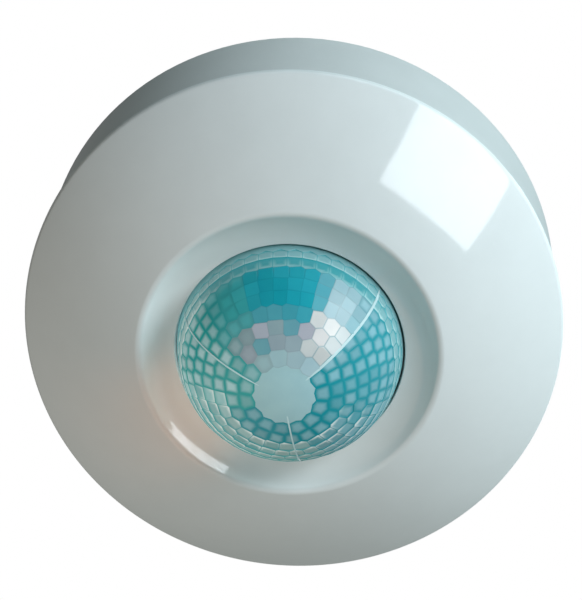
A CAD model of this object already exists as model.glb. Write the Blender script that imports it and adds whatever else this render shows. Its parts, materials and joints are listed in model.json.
"""Looks of the ceiling motion detector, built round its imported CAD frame.

The row frame is in metres with +Z up into the ceiling. The detector's own heights run
the other way, from the ceiling down to the lens, so place() turns (x, y, height in mm)
into the row frame: x stays, y and height change sign.
"""
import json
import math
import random

import bmesh
import bpy
from mathutils import Matrix, Vector


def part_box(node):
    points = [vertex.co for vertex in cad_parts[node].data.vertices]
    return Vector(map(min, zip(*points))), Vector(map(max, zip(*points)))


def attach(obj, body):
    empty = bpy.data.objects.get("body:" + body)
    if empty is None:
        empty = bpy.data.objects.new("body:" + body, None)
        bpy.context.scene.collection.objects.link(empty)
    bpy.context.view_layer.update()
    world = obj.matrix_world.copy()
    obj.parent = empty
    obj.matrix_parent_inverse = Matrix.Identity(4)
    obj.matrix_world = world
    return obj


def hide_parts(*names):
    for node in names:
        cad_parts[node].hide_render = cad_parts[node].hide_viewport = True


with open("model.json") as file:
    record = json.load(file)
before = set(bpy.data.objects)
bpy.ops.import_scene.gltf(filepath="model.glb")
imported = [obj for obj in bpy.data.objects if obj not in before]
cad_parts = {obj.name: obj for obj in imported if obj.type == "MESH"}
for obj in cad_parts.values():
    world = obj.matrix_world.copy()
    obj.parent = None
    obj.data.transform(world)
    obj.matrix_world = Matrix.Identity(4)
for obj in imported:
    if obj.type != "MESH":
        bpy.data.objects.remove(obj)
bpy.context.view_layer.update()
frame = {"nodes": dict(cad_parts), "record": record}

MM = 0.001
scene = bpy.context.scene


# ---------------------------------------------------------------- driving sizes, in mm
COVER_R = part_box("cover")[1].x / MM
RIM_TOP_H = 24.73
RIM_FILLET = 1.4
CAP_RADIUS = 91.0
CAP_CENTRE_H = RIM_TOP_H - math.sqrt((CAP_RADIUS - RIM_FILLET) ** 2 - (COVER_R - RIM_FILLET) ** 2)
COVER_WALL = 1.9
SINK = 0.3  # how far one solid reaches into the next
CREST_ROUND = 1.6
RECESS_CENTRE = (23.1, 45.36)
RECESS_RADIUS = 9.47
RECESS_WALL = 1.8
OPENING_R = 23.0
LIP_ROUND = 0.2
RIM_IN_R = COVER_R - 1.6
RIM_LOW_H = 24.0
# Rings under the cover: inner radius, outer radius, height they reach up to
SKIRT = (47.0, 48.4, 20.0)
RIB = (50.6, 51.8, 21.0)
# Radial ribs under the cover: from radius, to radius, thickness, depth
STIFFENER = (33.4, 43.6, 1.0, 1.4)
STIFFENER_ANGLES = range(15, 360, 60)

LENS_R = 22.7
LENS_WALL = 0.9
LENS_CENTRE_H = 34.3
LENS_FLANGE_R = 27.0
RING_H = 30.4
DECK_TOP_H = 29.2
LENS_LOW_H = 27.6


def place(x, y, h):
    """A point of the detector, its height counted from the ceiling, in the row frame."""
    return Vector((x * MM, -y * MM, -h * MM))


def polar(r, angle, h):
    a = math.radians(angle)
    return place(r * math.cos(a), r * math.sin(a), h)


# ---------------------------------------------------------------- mesh helpers
def arc(centre, r, a0, a1, n):
    """n + 1 points on an arc about (radius, height) centre, angles in degrees."""
    turns = [math.radians(a0 + (a1 - a0) * i / n) for i in range(n + 1)]
    return [(centre[0] + r * math.cos(t), centre[1] + r * math.sin(t)) for t in turns]


def heading(start, end):
    return math.degrees(math.atan2(end[1] - start[1], end[0] - start[0]))


def crossing(c1, r1, c2, r2):
    """Where two circles cross, on the side away from the axis."""
    dx, dy = c2[0] - c1[0], c2[1] - c1[1]
    d = math.hypot(dx, dy)
    along = (r1 * r1 - r2 * r2 + d * d) / (2 * d)
    off = math.sqrt(r1 * r1 - along * along)
    return (c1[0] + (along * dx + off * dy) / d, c1[1] + (along * dy - off * dx) / d)


def clean(points):
    """The points with near repeats left out."""
    kept = []
    for p in points:
        if not kept or math.dist(p, kept[-1]) > 1e-4:
            kept.append(p)
    return kept


def new_piece(name, bm):
    """An object in the scene with the mesh of bm, which is used up."""
    mesh = bpy.data.meshes.new(name)
    bm.to_mesh(mesh)
    bm.free()
    piece = bpy.data.objects.new(name, mesh)
    scene.collection.objects.link(piece)
    return piece


def face_outward(bm, sharp_deg):
    """Turns the normals outward and leaves edges sharper than an angle as creases."""
    bmesh.ops.recalc_face_normals(bm, faces=bm.faces)
    limit = math.radians(sharp_deg)
    for edge in bm.edges:
        edge.smooth = len(edge.link_faces) == 2 and edge.calc_face_angle(0) < limit


def lathe(name, profile, segments, sharp_deg):
    """A closed solid of revolution through (radius, height) points."""
    bm = bmesh.new()
    rings = []
    for r, h in clean(profile):
        count = 1 if r < 1e-6 else segments
        rings.append([bm.verts.new(polar(r, 360 * i / segments, h)) for i in range(count)])
    closed = rings if len(rings[0]) == 1 else rings + rings[:1]
    for low, high in zip(closed, closed[1:]):
        for i in range(segments):
            j = (i + 1) % segments
            corners = [low[i % len(low)], low[j % len(low)],
                       high[j % len(high)], high[i % len(high)]]
            loop = list(dict.fromkeys(corners))
            if len(loop) > 2:
                bm.faces.new(loop).smooth = True
    bmesh.ops.remove_doubles(bm, verts=bm.verts, dist=1e-7)
    face_outward(bm, sharp_deg)
    return new_piece(name, bm)


# ---------------------------------------------------------------- materials
def new_material(name):
    material = bpy.data.materials.new(name)
    material.use_nodes = True
    nodes = material.node_tree.nodes
    return material, nodes, material.node_tree.links, nodes["Principled BSDF"]


def noise(nodes, links, scale, detail=3.0):
    """Noise in the object's own coordinates; scale is in lumps per metre."""
    where = nodes.new("ShaderNodeTexCoord")
    texture = nodes.new("ShaderNodeTexNoise")
    texture.inputs["Scale"].default_value = scale
    texture.inputs["Detail"].default_value = detail
    links.new(where.outputs["Object"], texture.inputs["Vector"])
    return texture.outputs["Fac"]


def ramp(nodes, links, factor, stops):
    """Colour ramp over (position, colour) stops."""
    node = nodes.new("ShaderNodeValToRGB")
    elements = node.color_ramp.elements
    while len(elements) < len(stops):
        elements.new(0.5)
    for element, (position, colour) in zip(elements, stops):
        element.position = position
        element.color = (*colour, 1)
    links.new(factor, node.inputs["Fac"])
    return node.outputs["Color"]


def bump(nodes, links, factor, strength, distance):
    node = nodes.new("ShaderNodeBump")
    node.inputs["Strength"].default_value = strength
    node.inputs["Distance"].default_value = distance
    links.new(factor, node.inputs["Height"])
    return node.outputs["Normal"]


def scaled(colour, k):
    return tuple(min(1.0, c * k) for c in colour)


def moulded(name, colour, roughness, grain=9000, depth=0.00001, coat=0.0, spread=0.02):
    """Moulded or cast stuff: faint mottling, fine surface grain and uneven gloss."""
    material, nodes, links, shader = new_material(name)
    mottle = noise(nodes, links, grain / 60)
    fine = noise(nodes, links, grain)
    links.new(ramp(nodes, links, mottle, [(0.3, scaled(colour, 1 - spread)),
                                          (0.7, scaled(colour, 1 + spread))]),
              shader.inputs["Base Color"])
    gloss = ramp(nodes, links, mottle, [(0.3, (roughness * 0.92,) * 3),
                                        (0.7, (roughness * 1.08,) * 3)])
    links.new(gloss, shader.inputs["Roughness"])
    links.new(bump(nodes, links, fine, 0.25, depth), shader.inputs["Normal"])
    shader.inputs["Coat Weight"].default_value = coat
    shader.inputs["Coat Roughness"].default_value = 0.08
    return material


def soften_grazing_gloss(material, roughness):
    """Lets a gloss turn satin where it is seen nearly edge on."""
    nodes, links = material.node_tree.nodes, material.node_tree.links
    shader = nodes["Principled BSDF"]
    weight = nodes.new("ShaderNodeLayerWeight")
    weight.inputs["Blend"].default_value = 0.5
    edge_on = nodes.new("ShaderNodeMapRange")
    edge_on.interpolation_type = "SMOOTHSTEP"
    edge_on.inputs["From Min"].default_value = 0.56
    edge_on.inputs["From Max"].default_value = 0.76
    edge_on.inputs["To Max"].default_value = roughness
    links.new(weight.outputs["Facing"], edge_on.inputs["Value"])
    rougher = nodes.new("ShaderNodeMath")
    rougher.operation = "MAXIMUM"
    links.new(shader.inputs["Roughness"].links[0].from_socket, rougher.inputs[0])
    links.new(edge_on.outputs["Result"], rougher.inputs[1])
    links.new(rougher.outputs["Value"], shader.inputs["Roughness"])


# ---------------------------------------------------------------- cover
def cover_profile():
    cap_centre = (0, CAP_CENTRE_H)
    cap_in = CAP_RADIUS - COVER_WALL
    rim_centre = (COVER_R - RIM_FILLET, RIM_TOP_H)
    crest = crossing(cap_centre, CAP_RADIUS - CREST_ROUND,
                     RECESS_CENTRE, RECESS_RADIUS + CREST_ROUND)
    inner_edge = crossing(cap_centre, cap_in, RECESS_CENTRE, RECESS_RADIUS + RECESS_WALL)
    rim_angle = heading(cap_centre, rim_centre)
    crest_angle = heading(cap_centre, crest)
    hollow_angle = heading(RECESS_CENTRE, crest)
    lip = OPENING_R - RECESS_CENTRE[0]
    lip_angle = math.degrees(math.asin((lip + LIP_ROUND) / RECESS_RADIUS)) - 90
    lip_in_angle = math.degrees(math.asin(lip / (RECESS_RADIUS + RECESS_WALL))) - 90
    lip_h = RECESS_CENTRE[1] - RECESS_RADIUS
    step_edge = 0.25

    def at(r):
        return math.degrees(math.acos(r / cap_in))

    return ([(COVER_R - step_edge, RIM_LOW_H), (COVER_R, RIM_LOW_H + step_edge)]
            + arc(rim_centre, RIM_FILLET, 0, rim_angle, 10)
            + arc(cap_centre, CAP_RADIUS, rim_angle, crest_angle, 40)
            + arc(crest, CREST_ROUND, crest_angle, hollow_angle + 180, 14)
            + arc(RECESS_CENTRE, RECESS_RADIUS, hollow_angle, lip_angle, 20)
            + arc((OPENING_R + LIP_ROUND, lip_h - LIP_ROUND), LIP_ROUND, 90, 180, 5)
            + arc(RECESS_CENTRE, RECESS_RADIUS + RECESS_WALL, lip_in_angle,
                  heading(RECESS_CENTRE, inner_edge), 14)
            + arc(cap_centre, cap_in, heading(cap_centre, inner_edge), at(SKIRT[0]), 16)
            + [(SKIRT[0], SKIRT[2]), (SKIRT[1], SKIRT[2])]
            + arc(cap_centre, cap_in, at(SKIRT[1]), at(RIB[0]), 2)
            + [(RIB[0], RIB[2]), (RIB[1], RIB[2])]
            + arc(cap_centre, cap_in, at(RIB[1]), at(RIM_IN_R), 2)
            + [(RIM_IN_R, RIM_LOW_H)])


def add_stiffeners(cover):
    """Adds the radial ribs under the cover's domed face to its mesh."""
    bm = bmesh.new()
    bm.from_mesh(cover.data)
    start, end, thickness, depth = STIFFENER
    half = thickness / 2
    sunk_r = CAP_RADIUS - COVER_WALL + SINK
    low_r = CAP_RADIUS - COVER_WALL - depth
    steps = 8
    for angle in STIFFENER_ANGLES:
        a = math.radians(angle)
        side = (-math.sin(a) * half, math.cos(a) * half)
        rows = []
        for i in range(steps + 1):
            r = start + (end - start) * i / steps
            x, y = r * math.cos(a), r * math.sin(a)
            top = CAP_CENTRE_H + math.sqrt(sunk_r ** 2 - r * r)
            low = CAP_CENTRE_H + math.sqrt(low_r ** 2 - r * r)
            rows.append([bm.verts.new(place(x + s * side[0], y + s * side[1], h))
                         for s, h in ((1, top), (1, low), (-1, low), (-1, top))])
        for near, far in zip(rows, rows[1:]):
            for k in range(4):
                bm.faces.new((near[k], near[(k + 1) % 4], far[(k + 1) % 4], far[k]))
        bm.faces.new(rows[0][::-1])
        bm.faces.new(rows[-1])
    bmesh.ops.recalc_face_normals(bm, faces=bm.faces)
    bm.to_mesh(cover.data)
    bm.free()


def build_cover():
    cover = lathe("cover_shell", cover_profile(), 256, 40)
    gloss = moulded("gloss white", (0.735, 0.79, 0.785), 0.07, depth=0.000001, spread=0.012)
    gloss.node_tree.nodes["Principled BSDF"].inputs["Specular IOR Level"].default_value = 1.0
    soften_grazing_gloss(gloss, 0.8)
    cover.data.materials.append(gloss)
    add_stiffeners(cover)
    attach(cover, "cover")
    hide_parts("cover")
    return cover


# ---------------------------------------------------------------- dome lens
# Rows of cells round the dome, as degrees from the apex and number of cells; for the rows that
# are built, also how many of the cells lie in the flat-faceted sector
APEX_ROWS = ((0.0, 1), (11.0, 15))
CELL_ROWS = ((19.3, 15, 5), (27.3, 21, 7), (34.5, 27, 9), (42.1, 33, 11), (49.8, 39, 14),
             (57.4, 42, 14), (64.9, 45, 14), (72.4, 48, 16), (79.3, 48, 16))
EDGE_ROWS = ((85.5, 48), (93.0, 48))
OUTER_ROWS_DEG = 68
TOP_SECTOR = (45, 165)
FACET_R = LENS_R - 0.12
GROOVE = 0.09
FLAT_GROOVE = 0.02
# Section of a cell from its edge inwards: share of its width, depth as a share of the groove's
ROUND_PILLOW = ((0.94, 1.0), (0.84, 0.92), (0.71, 0.62), (0.56, 0.26), (0.36, 0.0))
FLAT_PILLOW = ((0.93, 0.35), (0.86, 0.0))
SCALE_PILLOW = ((0.92, 0.30), (0.80, 0.08), (0.60, 0.0), (0.36, 0.0))
SCALE_STEP = 1.9
# Weld lines: azimuth, degrees from the apex where it starts, half width, rise over the facets
SEAMS = ((45, 12.0, 0.38, 0.07), (165, 12.0, 0.2, 0.09), (285, 2.0, 0.2, 0.09))
SEAM_END_DEG = 87.0


def srgb(r, g, b):
    """A colour as seen on screen, 0 to 255, in linear light."""
    parts = [c / 255 for c in (r, g, b)]
    return Vector([c / 12.92 if c <= 0.04045 else ((c + 0.055) / 1.055) ** 2.4
                   for c in parts])


def sphere_point(polar_deg, azimuth):
    p, a = math.radians(polar_deg), math.radians(azimuth)
    return Vector((math.sin(p) * math.cos(a), math.sin(p) * math.sin(a), math.cos(p)))


def angles_of(v):
    """(polar, azimuth) of a direction about the dome's centre, in degrees."""
    flat = math.hypot(v.x, v.y)
    return (math.degrees(math.atan2(flat, v.z)), math.degrees(math.atan2(v.y, v.x)) % 360)


def lens_place(v):
    """A point given about the dome's centre, in mm, in the row frame."""
    return place(v.x, v.y, LENS_CENTRE_H + v.z)


def fade(x, low, high):
    t = max(0.0, min(1.0, (x - low) / (high - low)))
    return t * t * (3 - 2 * t)


def between(azimuth, start, end, soft=8):
    """1 where an azimuth lies from start round to end, easing to 0 over the soft edge."""
    width = (end - start) % 360
    into = (azimuth - start + 180 - width / 2) % 360 - 180 + width / 2
    return fade(into, -soft / 2, soft / 2) * (1 - fade(into, width - soft / 2, width + soft / 2))


def in_top_sector(polar_deg, azimuth):
    """1 in the flat-faceted sector, fading to 0 towards its seams and the outer rows."""
    inside = between(azimuth, TOP_SECTOR[0] + 2, TOP_SECTOR[1] - 38, 14)
    return inside * (1 - fade(polar_deg, OUTER_ROWS_DEG - 5, OUTER_ROWS_DEG))


def in_scales(polar_deg, azimuth):
    """1 where the cells overlap like scales: the outer rows, and lower in on the far side."""
    far_side = between(azimuth, 195, 345, 20) * fade(polar_deg, 27, 34)
    return max(fade(polar_deg, OUTER_ROWS_DEG - 1, OUTER_ROWS_DEG + 2), far_side)


def groove_depth(v):
    flat = in_top_sector(*angles_of(v))
    return GROOVE + (FLAT_GROOVE - GROOVE) * flat


def row_azimuths(row, count, top_count):
    """Where a row's cells sit: in columns in the top sector, staggered in the others."""
    start, end = TOP_SECTOR
    columns = [start + (end - start) * (i + 0.5) / top_count for i in range(top_count)]
    others = count * 2 // 3
    if row % 2:
        steps = [i + 0.5 for i in range(others)]
    else:
        steps = [0.3] + list(range(1, others)) + [others - 0.3]
    return columns + [end + 240 * step / others for step in steps]


def tangent_cells():
    """Flat cells, each on the plane that touches the dome at its seed: (row, seed, corners).
    The rows inside the first and outside the last only shape their neighbours' edges."""
    rng = random.Random(7)
    seeds = [(0, sphere_point(pol, 360 * i / count)) for pol, count in APEX_ROWS
             for i in range(count)]
    for row, (pol, count, top_count) in enumerate(CELL_ROWS, start=1):
        loose = 0.0 if pol > OUTER_ROWS_DEG else 0.4
        for azimuth in row_azimuths(row, count, top_count):
            seeds.append((row, sphere_point(pol + loose * rng.uniform(-1, 1),
                                            azimuth + loose * rng.uniform(-1, 1))))
    for pol, count in EDGE_ROWS:
        seeds += [(0, sphere_point(pol, 360 * i / count)) for i in range(count)]
    seeds.append((0, Vector((0, 0, -1))))
    hull = bmesh.new()
    verts = [hull.verts.new(seed) for _, seed in seeds]
    bmesh.ops.convex_hull(hull, input=verts)
    bmesh.ops.triangulate(hull, faces=hull.faces)
    hull.normal_update()
    corner = {}
    for face in hull.faces:
        reach = face.normal.dot(face.verts[0].co)
        corner[face] = face.normal / reach
    same_corner = 0.002
    for edge in hull.edges:
        one, two = edge.link_faces
        if (corner[one] - corner[two]).length < same_corner:
            corner[two] = corner[one]
    cells = []
    for vert, (row, seed) in zip(verts, seeds):
        if row == 0:
            continue
        side = seed.orthogonal().normalized()
        other = seed.cross(side)
        ring = [corner[face] for face in vert.link_faces]
        ring.sort(key=lambda c: math.atan2(c.dot(other), c.dot(side)))
        cells.append((row, seed, ring))
    hull.free()
    return cells


APEX_BLUE = srgb(166, 203, 208)
NEAR_EDGE = srgb(132, 184, 188)
NEAR_LINE = srgb(190, 224, 224)
FAR_EDGE = srgb(176, 206, 204)
FAR_LINE = srgb(250, 255, 253)
EDGE_TEAL = srgb(52, 160, 168)
DEEP_TEAL = srgb(0, 146, 158)
LEFT_TEAL = srgb(30, 164, 162)
FAR_TEAL = srgb(20, 172, 174)
RIGHT_CELL = srgb(128, 182, 192)
LEFT_CELL = srgb(178, 214, 216)
FAR_CELL = srgb(164, 196, 194)
MID_GREY = srgb(150, 174, 180)
MID_ROSE = srgb(176, 178, 190)
PANEL_BLUE = srgb(40, 168, 184)
PANEL_GREEN = srgb(80, 184, 182)
PALE_GLOW = srgb(168, 194, 200)
WHITE_FACET = srgb(232, 226, 220)


def zone_colours(polar_deg, azimuth, rng):
    """(cell, groove and raised-edge colour) at a place on the dome."""
    top = between(azimuth, 48, 148, 26)
    left = between(azimuth, 140, 215, 26)
    far = between(azimuth, 205, 300, 34)
    mood = rng.uniform(-1, 1)
    cell = RIGHT_CELL.lerp(LEFT_CELL, left).lerp(FAR_CELL, far * fade(polar_deg, 24, 36))
    gap = DEEP_TEAL.lerp(LEFT_TEAL, left).lerp(FAR_TEAL, far * fade(polar_deg, 26, 46))
    cell = cell.lerp(gap, 0.6 * max(0.0, -mood) * (1 - fade(polar_deg, 44, 66)))
    middle = MID_GREY.lerp(MID_ROSE, max(0.0, mood))
    if mood < -0.6:
        middle = middle.lerp(PANEL_BLUE, 0.5)
    panel = PANEL_BLUE.lerp(DEEP_TEAL, 0.3 + 0.3 * mood)
    panel = panel.lerp(PANEL_GREEN, between(azimuth, 122, 165, 16) * 0.7)
    panel = panel.lerp(PALE_GLOW, between(azimuth, 40, 74, 8) * 0.85)
    outward = fade(polar_deg, 37, 44)
    cell = cell.lerp(middle.lerp(panel, outward), top)
    top_gap = (middle * 0.85).lerp(panel * 0.85, outward)
    gap = gap.lerp(top_gap.lerp(PALE_GLOW * 0.8, between(azimuth, 40, 74, 8) * 0.7), top)
    white = between(azimuth, 48, 77, 4) * fade(polar_deg, 22, 25) * (1 - fade(polar_deg, 44, 47))
    cell = cell.lerp(WHITE_FACET, white * (0.5 + 0.45 * abs(mood)))
    near_apex = 1 - fade(polar_deg, 18, 24)
    cell = cell.lerp(APEX_BLUE, near_apex * top * 0.8)
    gap = gap.lerp(cell * 0.9, near_apex * top * 0.7)
    outer = fade(polar_deg, OUTER_ROWS_DEG - 4, OUTER_ROWS_DEG + 2)
    near = between(azimuth, 340, 150, 50)
    edge = FAR_EDGE.lerp(NEAR_EDGE, near)
    deep = top * (1 - fade(polar_deg, 75, 80))
    edge = edge.lerp(EDGE_TEAL, 0.9 * deep)
    cell = cell * (1 + 0.08 * rng.uniform(-1, 1))
    line = FAR_LINE.lerp(NEAR_LINE, near).lerp(edge, 0.6 * deep)
    return cell.lerp(edge, outer), gap.lerp(EDGE_TEAL, outer), line


def lens_material():
    material, nodes, links, shader = new_material("dome polyethylene")
    tint = nodes.new("ShaderNodeVertexColor")
    tint.layer_name = "tint"
    cloud = noise(nodes, links, 260, 4)
    veil = ramp(nodes, links, cloud, [(0.3, (0.85, 0.86, 0.87)), (0.7, (0.93, 0.92, 0.91))])
    blend = nodes.new("ShaderNodeMix")
    blend.data_type = "RGBA"
    blend.blend_type = "MULTIPLY"
    blend.inputs["Factor"].default_value = 1.0
    links.new(tint.outputs["Color"], blend.inputs["A"])
    links.new(veil, blend.inputs["B"])
    links.new(blend.outputs["Result"], shader.inputs["Base Color"])
    gloss = ramp(nodes, links, cloud, [(0.3, (0.13,) * 3), (0.7, (0.20,) * 3)])
    links.new(gloss, shader.inputs["Roughness"])
    fine = noise(nodes, links, 2600)
    links.new(bump(nodes, links, fine, 0.15, 0.00001), shader.inputs["Normal"])
    soften_grazing_gloss(material, 0.6)
    return material


class Shell:
    """The dome's mesh while it is built, about the dome's centre, with coloured corners."""

    def __init__(self):
        self.bm = bmesh.new()
        self.tint = self.bm.loops.layers.float_color.new("tint")
        self.known = {}

    def vert(self, point):
        key = tuple(round(c, 3) for c in point)
        if key not in self.known:
            self.known[key] = self.bm.verts.new(lens_place(point))
        return self.known[key]

    def face(self, points, colours, smooth=True):
        corners = [self.vert(p) for p in points]
        kept = [i for i, c in enumerate(corners) if c not in corners[:i]]
        if len(kept) < 3:
            return
        new = self.bm.faces.new([corners[i] for i in kept])
        new.smooth = smooth
        for loop, i in zip(new.loops, kept):
            loop[self.tint] = (*colours[i], 1)

    def band(self, low, high, low_tones, high_tones):
        """Faces between two rings of as many points."""
        for i in range(len(low)):
            j = (i + 1) % len(low)
            self.face([low[i], low[j], high[j], high[i]],
                      [low_tones[i], low_tones[j], high_tones[j], high_tones[i]])


def add_cell(shell, seed, ring, colours):
    """One facet, pillow or scale; gives back its corners on the dome."""
    cell, gap, raised = colours
    polar_deg, azimuth = angles_of(seed)
    flat = in_top_sector(polar_deg, azimuth) > 0.5
    tilt = in_scales(polar_deg, azimuth)
    pillow = FLAT_PILLOW if flat else SCALE_PILLOW if tilt > 0.5 else ROUND_PILLOW
    outward = sphere_point(polar_deg + 90, azimuth)
    reach = max((c - seed).dot(outward) for c in ring)
    levels = [[c * (FACET_R - groove_depth(c)) for c in ring]]
    tones = [[gap] * len(ring)]
    for scale, depth in pillow:
        level, tone = [], []
        for c in ring:
            inwardness = 0.5 - 0.5 * (c - seed).dot(outward) * scale / reach
            sunk = groove_depth(c) * (depth + SCALE_STEP * tilt * (1 - inwardness))
            level.append((seed + (c - seed) * scale) * FACET_R - seed * sunk)
            shade = gap.lerp(cell, 1 - depth)
            shade = shade.lerp(gap, 0.6 * tilt * fade(1 - inwardness, 0.66, 0.95))
            line = tilt * fade(inwardness, 0.72, 0.95)
            tone.append(shade.lerp(raised, line))
        levels.append(level)
        tones.append(tone)
    for k in range(len(pillow)):
        shell.band(levels[k], levels[k + 1], tones[k], tones[k + 1])
    shell.face(levels[-1], tones[-1], smooth=not flat)
    return levels[0]


def build_lens():
    rng = random.Random(23)
    shell = Shell()
    rim, edge = [], []
    for row, seed, ring in tangent_cells():
        corners = add_cell(shell, seed, ring, zone_colours(*angles_of(seed), rng))
        if row == 1:
            rim += [p for p in corners if angles_of(p)[0] < CELL_ROWS[0][0] - 2]
        if row == len(CELL_ROWS):
            edge += [p for p in corners if angles_of(p)[0] > CELL_ROWS[-1][0] + 1]
    add_apex(shell, by_azimuth(rim))
    add_skirt(shell, by_azimuth(edge))
    dome_faces = len(shell.bm.faces)
    for seam in SEAMS:
        add_seam(shell, seam)
    for seam_face in list(shell.bm.faces)[dome_faces:]:
        seam_face.material_index = 1
    face_outward(shell.bm, 28)
    dome = new_piece("lens_dome", shell.bm)
    dome.data.materials.append(lens_material())
    dome.data.materials.append(moulded("weld line", (0.50, 0.67, 0.68), 0.2, depth=0.000001))
    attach(dome, "sensor")
    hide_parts("lens")
    return dome


def by_azimuth(points):
    """Points of a ring, each once, in order round the axis."""
    ring = {}
    for p in points:
        ring[round(angles_of(p)[1], 2)] = p
    return [ring[a] for a in sorted(ring)]


def add_apex(shell, rim):
    """Smooth patch inside the first row, from its rim up to the apex."""
    rings = [rim]
    tones = [APEX_BLUE] * len(rim)
    for share in (0.95, 0.8, 0.6, 0.4, 0.2):
        rise = fade(1 - share, 0, 0.5)
        r = FACET_R + (LENS_R - FACET_R) * rise
        rings.append([sphere_point(angles_of(p)[0] * share, angles_of(p)[1]) * r for p in rim])
    for low, high in zip(rings, rings[1:]):
        shell.band(low, high, tones, tones)
    top = Vector((0, 0, LENS_R))
    shell.band(rings[-1], [top] * len(rim), tones, tones)


def add_skirt(shell, loop):
    """Plain band under the last row, the clamping flange, and the inside of the shell."""
    turns = [math.radians(angles_of(p)[1]) for p in loop]
    tones = [NEAR_EDGE] * len(loop)

    def ring(r, h):
        return [Vector((r * math.cos(t), r * math.sin(t), h)) for t in turns]

    def inner(polar_deg):
        p = math.radians(polar_deg)
        return ring((LENS_R - LENS_WALL) * math.sin(p), (LENS_R - LENS_WALL) * math.cos(p))

    sunk = LENS_CENTRE_H
    rings = [loop, ring(LENS_R * math.sin(math.radians(87.5)) - 0.03, 1.0),
             ring(LENS_R, 0.0), ring(LENS_R, RING_H - sunk), ring(LENS_FLANGE_R, RING_H - sunk),
             ring(LENS_FLANGE_R, DECK_TOP_H - sunk), ring(LENS_R, DECK_TOP_H - sunk),
             ring(LENS_R, LENS_LOW_H - sunk), ring(LENS_R - LENS_WALL, LENS_LOW_H - sunk)]
    rings += [inner(pol) for pol in (90, 75, 60, 45, 30, 15)]
    for low, high in zip(rings, rings[1:]):
        shell.band(low, high, tones, tones)
    top = Vector((0, 0, LENS_R - LENS_WALL))
    shell.band(rings[-1], [top] * len(loop), tones, tones)


def add_seam(shell, seam):
    """Raised weld line between two sectors of the dome, thinner at its ends."""
    angle, start, width, rise = seam
    tone = srgb(206, 232, 234)
    sections = []
    steps = 48
    for i in range(steps + 1):
        pol = start + (SEAM_END_DEG - start) * i / steps
        along = sphere_point(pol, angle)
        side = Vector((-math.sin(math.radians(angle)), math.cos(math.radians(angle)), 0))
        taper = 0.35 + 0.65 * min(1, i / 6, (steps - i) / 6)
        w = width * taper
        base, top = FACET_R - SINK, FACET_R + rise * taper
        shoulder = top - 0.03
        sections.append([along * base + side * w, along * shoulder + side * (w * 0.7),
                         along * top, along * shoulder - side * (w * 0.7),
                         along * base - side * w])
    for a, b in zip(sections, sections[1:]):
        shell.band(a, b, [tone] * 5, [tone] * 5)
    for end_section in (sections[0], sections[-1]):
        shell.face(end_section, [tone] * 5)


# ---------------------------------------------------------------- materials of the CAD nodes
# Plastics and the like: colour, roughness, grain in lumps per metre, its depth in metres, coat
SLOT_LOOKS = {
    "housing_white": ((0.59, 0.62, 0.61), 0.30, 7000, 0.000004, 0.1),
    "grommet_rubber": ((0.035, 0.036, 0.038), 0.62, 4000, 0.00003, 0.0),
    "terminal_cream": ((0.72, 0.68, 0.55), 0.42, 6000, 0.00001, 0.0),
    "case_grey": ((0.30, 0.325, 0.335), 0.48, 5000, 0.00002, 0.0),
    "black_plastic": ((0.022, 0.023, 0.026), 0.42, 5000, 0.00002, 0.0),
    "relay_blue": ((0.02, 0.05, 0.17), 0.38, 6000, 0.00001, 0.0),
    "capacitor_sleeve": ((0.03, 0.04, 0.08), 0.28, 6000, 0.00001, 0.2),
    "capacitor_yellow": ((0.68, 0.46, 0.04), 0.35, 6000, 0.00001, 0.1),
    "varistor_blue": ((0.03, 0.13, 0.40), 0.33, 3000, 0.00003, 0.2),
    "ferrite": ((0.045, 0.045, 0.05), 0.55, 4000, 0.00003, 0.0),
    "led_red": ((0.62, 0.03, 0.02), 0.12, 8000, 0.000003, 0.5),
    "light_cell": ((0.45, 0.13, 0.03), 0.25, 6000, 0.00001, 0.4),
    "trimmer_blue": ((0.02, 0.11, 0.36), 0.32, 6000, 0.00001, 0.1),
    "dial_amber": ((0.74, 0.33, 0.03), 0.30, 7000, 0.00001, 0.2),
    "selector_red": ((0.42, 0.02, 0.02), 0.34, 6000, 0.00001, 0.1),
    "slider_white": ((0.78, 0.78, 0.76), 0.33, 8000, 0.00001, 0.1),
    "button_blue": ((0.04, 0.2, 0.55), 0.30, 7000, 0.00001, 0.2),
    "window_dark": ((0.05, 0.04, 0.07), 0.08, 7000, 0.000003, 0.6),
}
# Metals: colour, roughness
METAL_LOOKS = {
    "contact_brass": ((0.70, 0.50, 0.20), 0.28),
    "screw_steel": ((0.58, 0.59, 0.61), 0.30),
    "spring_steel": ((0.48, 0.49, 0.51), 0.22),
    "can_metal": ((0.66, 0.67, 0.68), 0.18),
    "fuse_metal": ((0.70, 0.71, 0.73), 0.12),
}


def plated(name, colour, roughness):
    """Plated metal: streaks of polish, and small dull spots."""
    material, nodes, links, shader = new_material(name)
    where = nodes.new("ShaderNodeTexCoord")
    stretch = nodes.new("ShaderNodeMapping")
    stretch.inputs["Scale"].default_value = (1, 1, 14)
    streak = nodes.new("ShaderNodeTexNoise")
    streak.inputs["Scale"].default_value = 900
    links.new(where.outputs["Object"], stretch.inputs["Vector"])
    links.new(stretch.outputs["Vector"], streak.inputs["Vector"])
    links.new(ramp(nodes, links, streak.outputs["Fac"], [(0.3, scaled(colour, 0.85)),
                                                         (0.7, scaled(colour, 1.1))]),
              shader.inputs["Base Color"])
    links.new(ramp(nodes, links, streak.outputs["Fac"], [(0.3, (roughness * 1.4,) * 3),
                                                         (0.7, (roughness * 0.8,) * 3)]),
              shader.inputs["Roughness"])
    links.new(bump(nodes, links, streak.outputs["Fac"], 0.3, 0.00001),
              shader.inputs["Normal"])
    shader.inputs["Metallic"].default_value = 1.0
    return material


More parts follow.
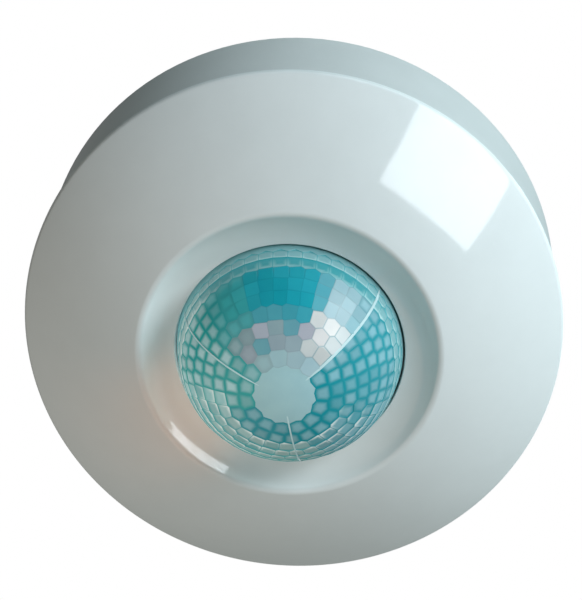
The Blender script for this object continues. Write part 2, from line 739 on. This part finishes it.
def circuit(name, mask, track):
    """Circuit board: solder mask over a net of tracks and small bright pads."""
    material, nodes, links, shader = new_material(name)
    where = nodes.new("ShaderNodeTexCoord")
    lines = nodes.new("ShaderNodeTexVoronoi")
    lines.distance = "MANHATTAN"
    lines.feature = "F2"
    lines.inputs["Scale"].default_value = 420
    links.new(where.outputs["Object"], lines.inputs["Vector"])
    pads = nodes.new("ShaderNodeTexVoronoi")
    pads.inputs["Scale"].default_value = 300
    links.new(where.outputs["Object"], pads.inputs["Vector"])
    base = ramp(nodes, links, lines.outputs["Distance"], [(0.50, mask), (0.56, track)])
    pad = ramp(nodes, links, pads.outputs["Distance"], [(0.13, (1, 1, 1)), (0.16, (0, 0, 0))])
    mix = nodes.new("ShaderNodeMix")
    mix.data_type = "RGBA"
    links.new(pad, mix.inputs["Factor"])
    links.new(base, mix.inputs["A"])
    mix.inputs["B"].default_value = (0.62, 0.60, 0.55, 1)
    links.new(mix.outputs["Result"], shader.inputs["Base Color"])
    shader.inputs["Roughness"].default_value = 0.32
    links.new(bump(nodes, links, lines.outputs["Distance"], 0.2, 0.00004),
              shader.inputs["Normal"])
    shader.inputs["Coat Weight"].default_value = 0.3
    return material


def dress_cad_nodes():
    made = {}
    for slot_name, look in SLOT_LOOKS.items():
        made[slot_name] = moulded(slot_name, *look)
    for slot_name, look in METAL_LOOKS.items():
        made[slot_name] = plated(slot_name, *look)
    made["board_green"] = circuit("board_green", (0.012, 0.13, 0.05), (0.02, 0.22, 0.09))
    made["board_teal"] = circuit("board_teal", (0.01, 0.15, 0.16), (0.02, 0.24, 0.26))
    slots = {}
    for part in frame["record"]["subparts"]:
        slots[part["node"]] = part["material_slot"]
    for node_name, piece in frame["nodes"].items():
        if piece.hide_render or slots[node_name] not in made:
            continue
        piece.data.materials.clear()
        piece.data.materials.append(made[slots[node_name]])


# ---------------------------------------------------------------- light, floor and camera
# Broad soft lights of the studio, as the direction each comes from and its colour
SOFT_LIGHTS = (
    ((-0.51, 0.51, -0.69), (0.64, 0.61, 0.56)),
    ((1.0, 0.0, 0.0), (0.50, 0.61, 0.63)),
    ((0.50, -0.50, 0.70), (0.24, 0.39, 0.41)),
    ((-0.45, 0.70, 0.55), (0.16, 0.17, 0.17)),
)


def soft_light(nodes, links, direction, colour):
    """Light that falls off smoothly as a ray turns away from a direction."""
    where = nodes.new("ShaderNodeTexCoord")
    dot = nodes.new("ShaderNodeVectorMath")
    dot.operation = "DOT_PRODUCT"
    dot.inputs[1].default_value = Vector(direction).normalized()
    links.new(where.outputs["Generated"], dot.inputs[0])
    scale = nodes.new("ShaderNodeMapRange")
    scale.interpolation_type = "SMOOTHSTEP"
    scale.inputs["From Min"].default_value = 0.3
    scale.inputs["From Max"].default_value = 1.0
    links.new(dot.outputs["Value"], scale.inputs["Value"])
    glow = nodes.new("ShaderNodeBackground")
    glow.inputs["Color"].default_value = (*colour, 1)
    links.new(scale.outputs["Result"], glow.inputs["Strength"])
    return glow.outputs["Background"]


def build_world():
    """Soft studio light from all round, seen by the camera as a plain white backdrop."""
    world = bpy.data.worlds.new("studio")
    world.use_nodes = True
    nodes, links = world.node_tree.nodes, world.node_tree.links
    nodes.clear()
    total = None
    for direction, colour in SOFT_LIGHTS:
        glow = soft_light(nodes, links, direction, colour)
        if total is None:
            total = glow
            continue
        both = nodes.new("ShaderNodeAddShader")
        links.new(total, both.inputs[0])
        links.new(glow, both.inputs[1])
        total = both.outputs["Shader"]
    plain = nodes.new("ShaderNodeBackground")
    plain.inputs["Color"].default_value = (1, 1, 1, 1)
    path = nodes.new("ShaderNodeLightPath")
    mix = nodes.new("ShaderNodeMixShader")
    links.new(path.outputs["Is Camera Ray"], mix.inputs["Fac"])
    links.new(total, mix.inputs[1])
    links.new(plain.outputs["Background"], mix.inputs[2])
    out = nodes.new("ShaderNodeOutputWorld")
    links.new(mix.outputs["Shader"], out.inputs["Surface"])
    scene.world = world


def axes_matrix(x, y, z, origin):
    rows = [(x[i], y[i], z[i], origin[i]) for i in range(3)]
    return Matrix(rows + [(0, 0, 0, 1)])


def kept_to(lamp, piece):
    """Lets a lamp light one piece only, with nothing else in its way, and move with it."""
    bpy.context.view_layer.update()
    lamp.parent = piece
    lamp.matrix_parent_inverse = piece.matrix_world.inverted()
    group = bpy.data.collections.new(lamp.name)
    group.objects.link(piece)
    lamp.light_linking.receiver_collection = group
    lamp.light_linking.blocker_collection = group


def new_lamp(name, kind, energy, colour=(1, 1, 1)):
    lamp = bpy.data.objects.new(name, bpy.data.lights.new(name, kind))
    lamp.data.energy = energy
    lamp.data.color = colour
    scene.collection.objects.link(lamp)
    return lamp


def build_dome_fill(dome):
    """Stands in for the light that shines through the dome and leaves on its far side."""
    lamp = new_lamp("through_dome", "SUN", 1.4, (0.86, 1.0, 0.98))
    lamp.data.angle = math.radians(60)
    towards = Vector((-0.85, 0.28, -0.45)).normalized()
    lamp.matrix_world = towards.to_track_quat("Z", "Y").to_matrix().to_4x4()
    lamp.visible_glossy = False
    kept_to(lamp, dome)


def build_recess_glow(cover):
    """The warm glow that the dome throws into the hollow beside it."""
    spot = new_lamp("glow", "SPOT", 0.033, (1.0, 0.30, 0.04))
    spot.data.spot_size = math.radians(36)
    spot.data.spot_blend = 1.0
    spot.data.shadow_soft_size = 0.004
    aim = Vector((-0.021, 0.017, -0.0365))
    spot.location = (0.010, 0.0, -0.080)
    spot.rotation_euler = (spot.location - aim).to_track_quat("Z", "Y").to_euler()
    spot.visible_glossy = False
    spot.visible_camera = False
    kept_to(spot, cover)


# The window's place, and the directions across it, and away from what it lights
WINDOW_AT = Vector((0.716, -0.770, -0.333))
WINDOW_ACROSS = Vector((0.72, 0.63, 0.28))
WINDOW_AWAY = Vector((0.629, -0.435, -0.644))
WINDOW_COLOUR = (0.83, 0.90, 0.955)
# Its light in three shares: name, watts, width and height in metres, whether it shows as a
# mirror image, and whether it passes through the translucent dome
WINDOW_SHARES = (
    ("window", 8.4, 0.56, 1.30, True, True),
    ("window_direct", 11.4, 0.38, 0.65, False, False),
    ("window_through", 3.6, 0.56, 1.30, False, True),
)


def build_lights(dome):
    """A tall window to the right and below, and a soft sky above for the ceiling side."""
    clear = bpy.data.collections.new("clear of the dome")
    clear.objects.link(dome)
    clear.collection_objects[0].light_linking.link_state = "EXCLUDE"
    up = WINDOW_AWAY.cross(WINDOW_ACROSS)
    for name, watts, width, height, mirrored, through in WINDOW_SHARES:
        window = new_lamp(name, "AREA", watts, WINDOW_COLOUR)
        window.data.shape = "RECTANGLE"
        window.data.size = width
        window.data.size_y = height
        window.matrix_world = axes_matrix(WINDOW_ACROSS, up, WINDOW_AWAY, WINDOW_AT)
        window.visible_glossy = mirrored
        window.visible_diffuse = not mirrored
        if through:
            window.light_linking.blocker_collection = clear
    sky = new_lamp("sky", "SUN", 2.4)
    sky.data.angle = math.radians(25)
    sky.visible_glossy = False


FLOOR_Z = -1.4


def build_floor():
    bm = bmesh.new()
    bmesh.ops.create_grid(bm, x_segments=1, y_segments=1, size=12)
    floor = new_piece("floor", bm)
    floor.location.z = FLOOR_Z
    floor.data.materials.append(moulded("floor", (0.86, 0.87, 0.87), 0.8, 30, 0.0005))
    floor.visible_diffuse = False
    floor.visible_glossy = False
    floor.visible_shadow = False


# Metres, and degrees off the straight-up view and round the line of sight
CAMERA_AT = (-0.00109, -0.17695, -0.42761)
CAMERA_TILT = 22.94
CAMERA_ROLL = 7.58


def build_camera():
    """Below the detector and a little to the -Y side, tilted off the axis and rolled."""
    data = bpy.data.cameras.new("camera")
    data.lens = 129.2
    data.sensor_width = 36
    data.clip_start = 0.01
    data.clip_end = 100
    camera = bpy.data.objects.new("camera", data)
    camera.matrix_world = (Matrix.Translation(CAMERA_AT)
                           @ Matrix.Rotation(math.radians(180 - CAMERA_TILT), 4, "X")
                           @ Matrix.Rotation(math.radians(CAMERA_ROLL), 4, "Z"))
    scene.collection.objects.link(camera)
    scene.camera = camera


cover_shell = build_cover()
lens_dome = build_lens()
dress_cad_nodes()
build_world()
build_lights(lens_dome)
build_dome_fill(lens_dome)
build_recess_glow(cover_shell)
build_floor()
build_camera()
scene.view_settings.view_transform = "Standard"
